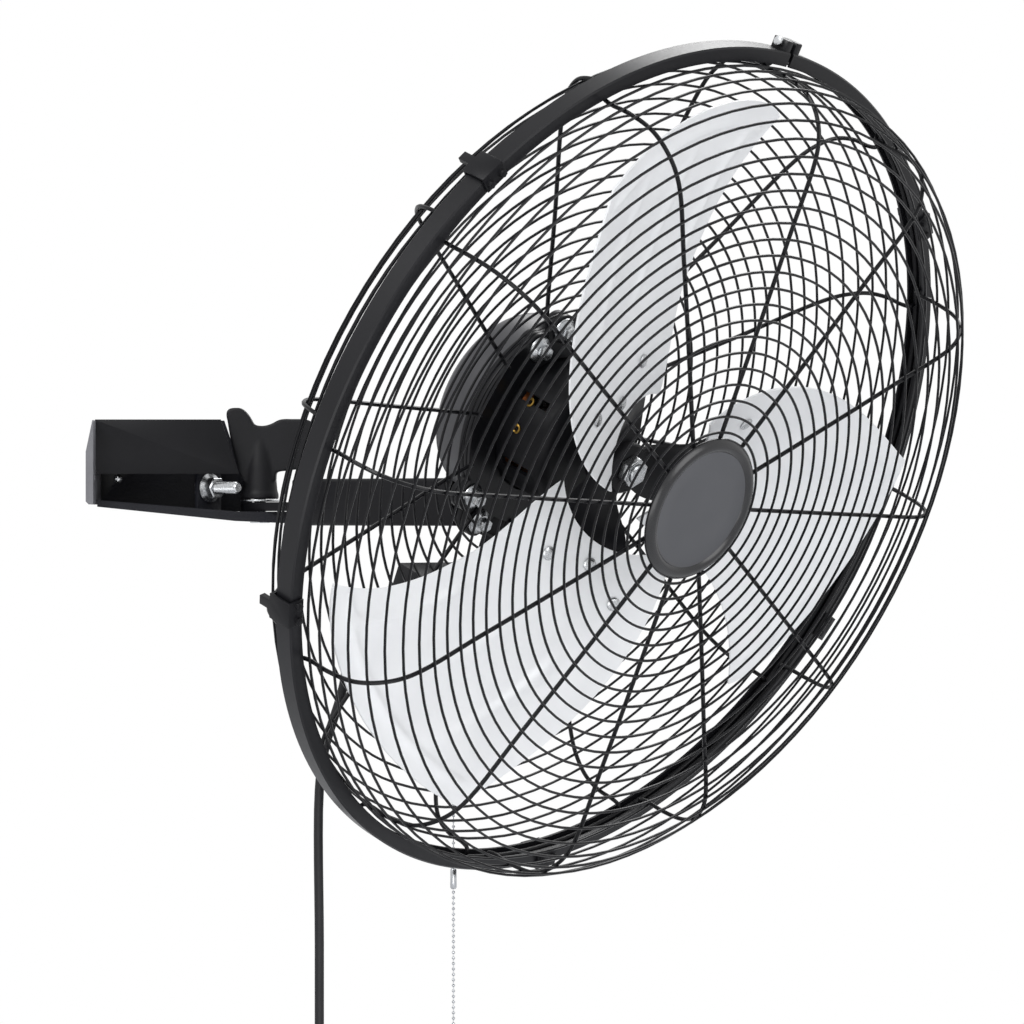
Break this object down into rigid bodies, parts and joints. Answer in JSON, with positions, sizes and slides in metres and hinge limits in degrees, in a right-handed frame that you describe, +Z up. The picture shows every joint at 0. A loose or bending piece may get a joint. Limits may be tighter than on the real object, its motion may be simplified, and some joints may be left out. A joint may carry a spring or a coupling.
{
  "type": "wall mounted fan",
  "caption": "Industrial wall fan: black wire cage with clamp band, aluminium blades, pull chain switch, and a panning, tilting arm on a steel wall bracket.",
  "frame": {"origin": "middle of the wall bracket's back face, where it meets the wall", "axes": "-X into the wall, +Z up, the fan head in front (+X) and swung toward -Y"},
  "size_m": [0.5753, 0.491, 0.7542],
  "materials": {
    "black_steel": "satin",
    "black_wire": "gloss",
    "dark_band": "satin",
    "black_plastic": "matte",
    "cap_plastic": "satin",
    "zinc_plate": "satin",
    "blade_aluminium": "satin",
    "motor_grey": "satin",
    "copper": "lacquered",
    "cord_rubber": "matte",
    "chain_plate": "gloss"
  },
  "bodies": {
    "bracket": {"wall_bracket": "black_steel", "bracket_screw": "zinc_plate", "side_bolt": "zinc_plate", "side_nut": "zinc_plate", "pivot_bolt": "zinc_plate"},
    "knob": {"wing_knob": "black_plastic"},
    "arm": {"arm_tube": "black_steel", "pivot_washer": "zinc_plate"},
    "head": {"yoke": "black_steel", "tilt_bolt": "zinc_plate", "tilt_nut": "zinc_plate", "motor_rear_shell": "motor_grey", "motor_front_bell": "black_steel", "stator": "copper", "rear_bearing": "zinc_plate", "front_bearing": "zinc_plate", "mount_bolt_1": "zinc_plate", "mount_bolt_2": "zinc_plate", "mount_bolt_3": "zinc_plate", "mount_bolt_4": "zinc_plate", "mount_bolt_5": "zinc_plate", "mount_bolt_6": "zinc_plate", "mount_bolt_7": "zinc_plate", "mount_bolt_8": "zinc_plate", "switch_box": "black_plastic", "pull_switch": "black_plastic", "capacitor": "black_plastic", "strain_relief": "black_plastic", "rear_guard": "black_wire", "front_guard": "black_wire", "clamp_band": "dark_band", "clamp_screw": "zinc_plate", "guard_clip_1": "black_steel", "guard_clip_2": "black_steel", "guard_clip_3": "black_steel", "guard_clip_4": "black_steel", "guard_clip_5": "black_steel", "front_cap": "cap_plastic", "power_cord": "cord_rubber", "cord_coil": "cord_rubber", "cord_tie": "black_plastic", "plug_body": "cord_rubber", "plug_pins": "zinc_plate"},
    "rotor": {"shaft": "zinc_plate", "rotor_core": "zinc_plate", "hub_spider": "black_steel", "shaft_nut": "zinc_plate", "blade_1": "blade_aluminium", "blade_1_rivet_1": "zinc_plate", "blade_1_rivet_2": "zinc_plate", "blade_1_rivet_3": "zinc_plate", "blade_2": "blade_aluminium", "blade_2_rivet_1": "zinc_plate", "blade_2_rivet_2": "zinc_plate", "blade_2_rivet_3": "zinc_plate", "blade_3": "blade_aluminium", "blade_3_rivet_1": "zinc_plate", "blade_3_rivet_2": "zinc_plate", "blade_3_rivet_3": "zinc_plate"},
    "pull": {"pull_chain": "chain_plate"}
  },
  "joints": [
    {"name": "pan", "type": "hinge", "parent": "bracket", "child": "arm", "pos_m": [0.1136, 0, -0.03], "axis": [0, 0, 1], "range_deg": [-13, 97]},
    {"name": "knob_turn", "type": "hinge", "parent": "bracket", "child": "knob", "pos_m": [0.1136, 0, 0], "axis": [0, 0, 1], "range_deg": [-100, 100]},
    {"name": "tilt", "type": "hinge", "parent": "arm", "child": "head", "pos_m": [0.26446, -0.13583, -0.035], "axis": [0.6691, 0.7431, 0], "range_deg": [-38, 22]},
    {"name": "fan_spin", "type": "hinge", "parent": "head", "child": "rotor", "pos_m": [0.35062, -0.21341, -0.0031], "axis": [0.6831, -0.615, -0.3939], "continuous": true},
    {"name": "pull_switch_slide", "type": "slide", "parent": "head", "child": "pull", "axis": [0, 0, -1], "range_m": [0, 0.008], "stiffness_N_per_m": 500, "springref_m": -0.002}
  ]
}
